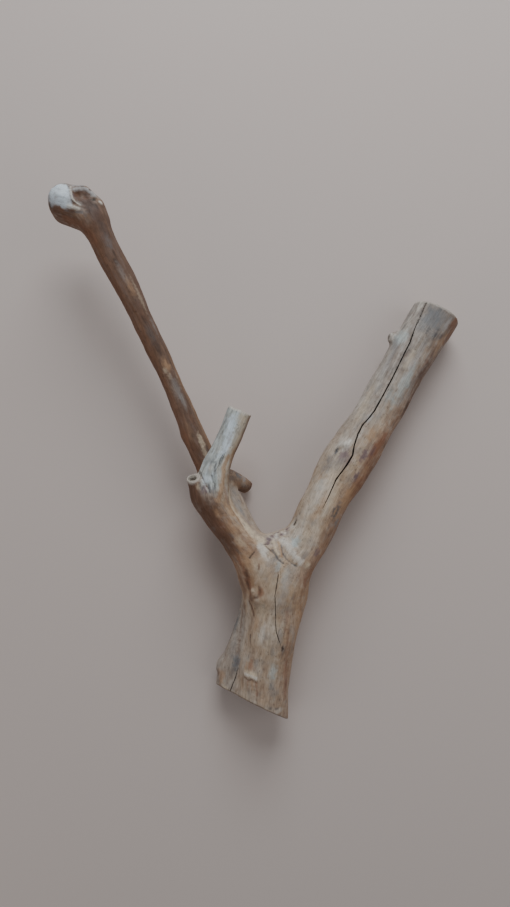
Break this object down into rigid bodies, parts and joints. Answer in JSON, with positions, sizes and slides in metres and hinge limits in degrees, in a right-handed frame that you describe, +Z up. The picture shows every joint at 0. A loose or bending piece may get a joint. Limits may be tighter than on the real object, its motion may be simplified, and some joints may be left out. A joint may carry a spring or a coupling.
{
  "type": "fallen tree branch",
  "caption": "Barkless, weathered tree branch: a stout trunk forking into a sawn limb and a long thin limb with a swollen knuckle, lying flat as a natural prop.",
  "frame": {"origin": "middle of the bounding box's bottom, on the surface that the branch lies on", "axes": "+Y from the trunk's sawn butt towards the limb tips, +X towards the thick sawn limb, +Z up from the ground"},
  "size_m": [0.4014, 0.5264, 0.0944],
  "materials": {
    "trunk_wood": "bare weathered wood, fine grain, brown below and grey above",
    "thick_limb_wood": "bare weathered wood, pale grey and tan with blue-grey streaks",
    "left_limb_wood": "bare weathered wood, orange-brown on its shaded side",
    "sawn_stub_wood": "bare bleached wood with grey streaks",
    "long_limb_wood": "bare weathered wood, brown, with a bleached knuckle",
    "back_spur_wood": "bare weathered wood, dark broken end"
  },
  "bodies": {
    "root": {"trunk": "trunk_wood", "thick_limb": "thick_limb_wood", "left_limb": "left_limb_wood", "sawn_stub": "sawn_stub_wood", "long_limb": "long_limb_wood", "back_spur": "back_spur_wood"}
  },
  "joints": []
}
